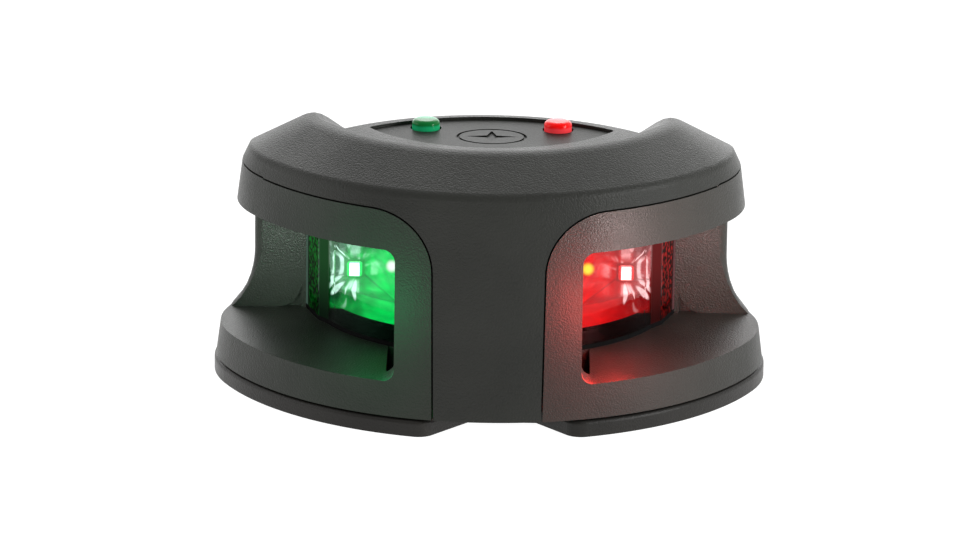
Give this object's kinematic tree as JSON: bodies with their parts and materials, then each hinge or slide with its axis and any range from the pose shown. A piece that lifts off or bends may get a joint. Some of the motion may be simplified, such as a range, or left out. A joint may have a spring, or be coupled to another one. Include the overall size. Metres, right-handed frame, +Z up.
{
  "type": "navigation light",
  "caption": "Low D-plan bow sidelight with green and red windows under an overhanging cap, on a flat base plate; the cap and bow column lift off.",
  "frame": {"origin": "on the mounting surface, at the centre of the round bow in plan", "axes": "+Z up from the deck, -Y towards the bow, +X to port, where the red side is; green is on -X"},
  "size_m": [0.096, 0.0748, 0.0474],
  "materials": {
    "black_moulding": "fine pebble grain",
    "plate_moulding": "satin",
    "badge_moulding": "fine grain with an engraved mark",
    "clear_lens": "clear polished",
    "green_pipe": "clear tinted",
    "red_pipe": "clear tinted",
    "reflector_plating": "vacuum metallised",
    "seal_rubber": "matte",
    "gasket_foam": "closed-cell foam",
    "circuit_board": "solder mask",
    "white_board": "white solder mask",
    "emitter": "phosphor and silicone",
    "sink_metal": "extruded",
    "black_epoxy": "moulded",
    "capacitor_can": "drawn can",
    "resistor_body": "glazed",
    "terminal_plastic": "moulded",
    "screw_steel": "stainless",
    "tinned_wire": "tinned"
  },
  "bodies": {
    "lamp": {"base_plate": "plate_moulding", "board_screws": "screw_steel", "cable_grommet": "seal_rubber", "capacitors": "capacitor_can", "case_screws": "screw_steel", "deck_gasket": "gasket_foam", "driver_board": "circuit_board", "driver_chip": "black_epoxy", "heat_sink": "sink_metal", "housing": "black_moulding", "housing_seal": "seal_rubber", "inductor": "black_epoxy", "led_board_green": "white_board", "led_board_red": "white_board", "led_fore_green": "emitter", "led_fore_red": "emitter", "led_leads": "tinned_wire", "led_side_green": "emitter", "led_side_red": "emitter", "lens_green": "clear_lens", "lens_red": "clear_lens", "lens_seal_green": "seal_rubber", "lens_seal_red": "seal_rubber", "reflector_green": "reflector_plating", "reflector_red": "reflector_plating", "resistors": "resistor_body", "telltale_green": "green_pipe", "telltale_red": "red_pipe", "terminal_block": "terminal_plastic", "terminal_screws": "screw_steel"},
    "cover": {"cover": "black_moulding", "badge": "badge_moulding"}
  },
  "joints": [
    {"name": "cover_lift", "type": "slide", "parent": "lamp", "child": "cover", "axis": [0, 0, 1], "range_m": [0, 0.06]}
  ]
}
